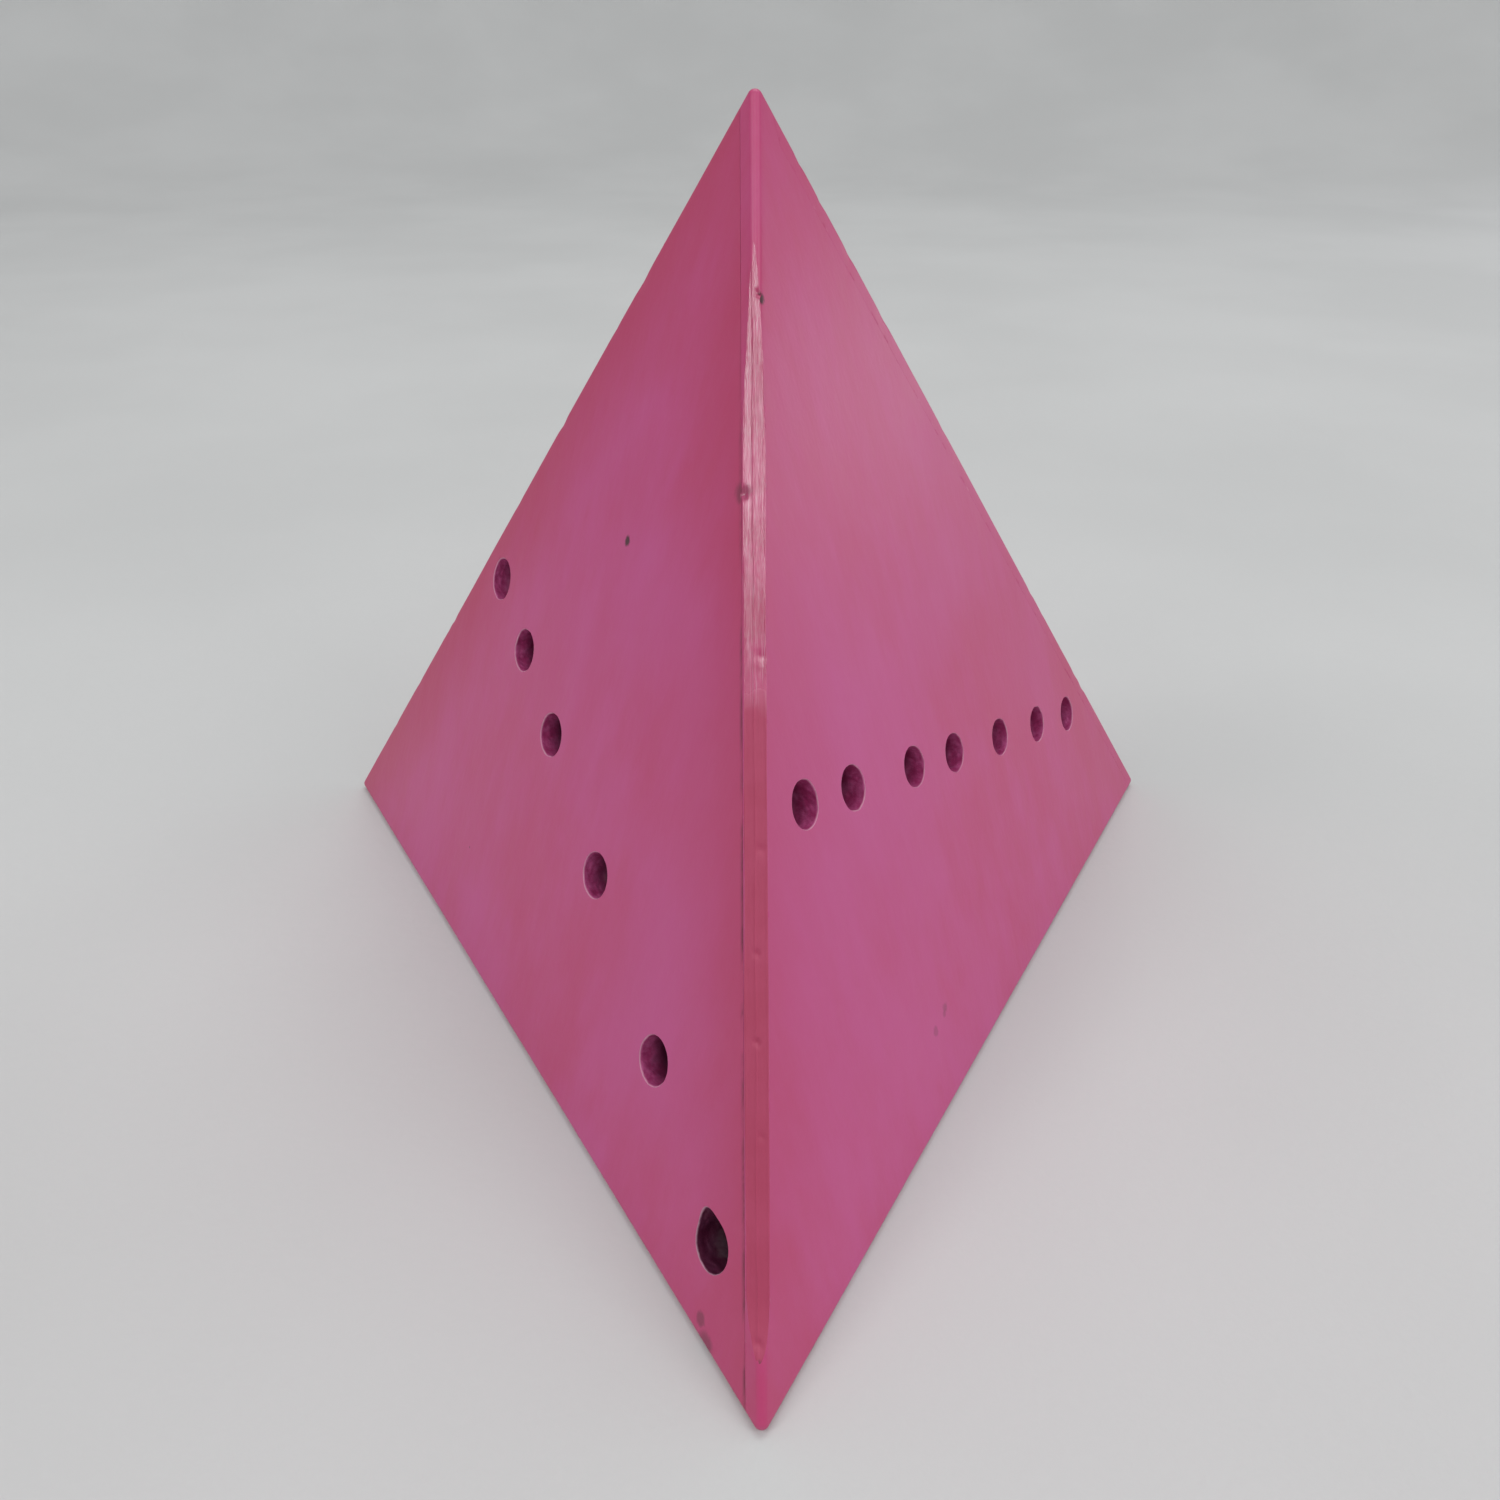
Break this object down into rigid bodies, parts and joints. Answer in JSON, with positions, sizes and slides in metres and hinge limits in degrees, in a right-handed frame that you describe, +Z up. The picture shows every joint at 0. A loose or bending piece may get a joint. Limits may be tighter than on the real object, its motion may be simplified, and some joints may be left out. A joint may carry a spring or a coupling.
{
  "type": "resin casting mould",
  "caption": "Tetrahedral knock-down casting mould: a base and three pegged walls with rows of small drilled pits round a silicone liner, with a pour hole and vents below.",
  "frame": {"origin": "centre of the bounding box on the plane the mould stands on", "axes": "+Z up; the front slanted edge leans back from -Y; +X to the right seen from the front"},
  "size_m": [0.108, 0.0938, 0.0885],
  "materials": {
    "wall_resin": "semi-gloss moulding resin with fine sanding marks",
    "base_resin": "semi-gloss moulding resin, sanded underneath",
    "liner_silicone": "milky silicone rubber, satin",
    "pad_silicone": "milky silicone rubber, satin",
    "seal_silicone": "milky silicone cord",
    "stopper_silicone": "milky silicone rubber, moulded",
    "dowel_steel": "ground steel pin"
  },
  "bodies": {
    "base": {"base_plate": "base_resin", "floor_pad": "pad_silicone", "rim_seal": "seal_silicone", "right_base_dowel": "dowel_steel", "left_base_dowel": "dowel_steel", "back_base_dowel": "dowel_steel"},
    "right_side": {"right_wall": "wall_resin", "front_upper_dowel": "dowel_steel", "front_lower_dowel": "dowel_steel"},
    "left_side": {"left_wall": "wall_resin", "left_upper_dowel": "dowel_steel", "left_lower_dowel": "dowel_steel"},
    "back_side": {"back_wall": "wall_resin", "right_upper_dowel": "dowel_steel", "right_lower_dowel": "dowel_steel"},
    "liner": {"silicone_liner": "liner_silicone"},
    "pour_plug": {"pour_stopper": "stopper_silicone"},
    "front_vent_plug": {"front_vent_stopper": "stopper_silicone"},
    "right_vent_plug": {"right_vent_stopper": "stopper_silicone"},
    "left_vent_plug": {"left_vent_stopper": "stopper_silicone"}
  },
  "joints": [
    {"name": "right_wall_draw", "type": "slide", "parent": "base", "child": "right_side", "axis": [0.8165, -0.4714, 0.3333], "range_m": [0, 0.045]},
    {"name": "left_wall_draw", "type": "slide", "parent": "base", "child": "left_side", "axis": [-0.8165, -0.4714, 0.3333], "range_m": [0, 0.045]},
    {"name": "back_wall_draw", "type": "slide", "parent": "base", "child": "back_side", "axis": [0, 0.9428, 0.3333], "range_m": [0, 0.045]},
    {"name": "liner_lift", "type": "slide", "parent": "base", "child": "liner", "axis": [0, 0, 1], "range_m": [0, 0.045]},
    {"name": "pour_stopper_draw", "type": "slide", "parent": "base", "child": "pour_plug", "axis": [0, 0, -1], "range_m": [0, 0.012]},
    {"name": "front_vent_draw", "type": "slide", "parent": "base", "child": "front_vent_plug", "axis": [0, 0, -1], "range_m": [0, 0.012]},
    {"name": "right_vent_draw", "type": "slide", "parent": "base", "child": "right_vent_plug", "axis": [0, 0, -1], "range_m": [0, 0.012]},
    {"name": "left_vent_draw", "type": "slide", "parent": "base", "child": "left_vent_plug", "axis": [0, 0, -1], "range_m": [0, 0.012]}
  ],
  "couplings": [
    {"joint": "left_wall_draw", "follows": "right_wall_draw", "ratio": 1},
    {"joint": "back_wall_draw", "follows": "right_wall_draw", "ratio": 1},
    {"joint": "liner_lift", "follows": "right_wall_draw", "ratio": 1}
  ]
}
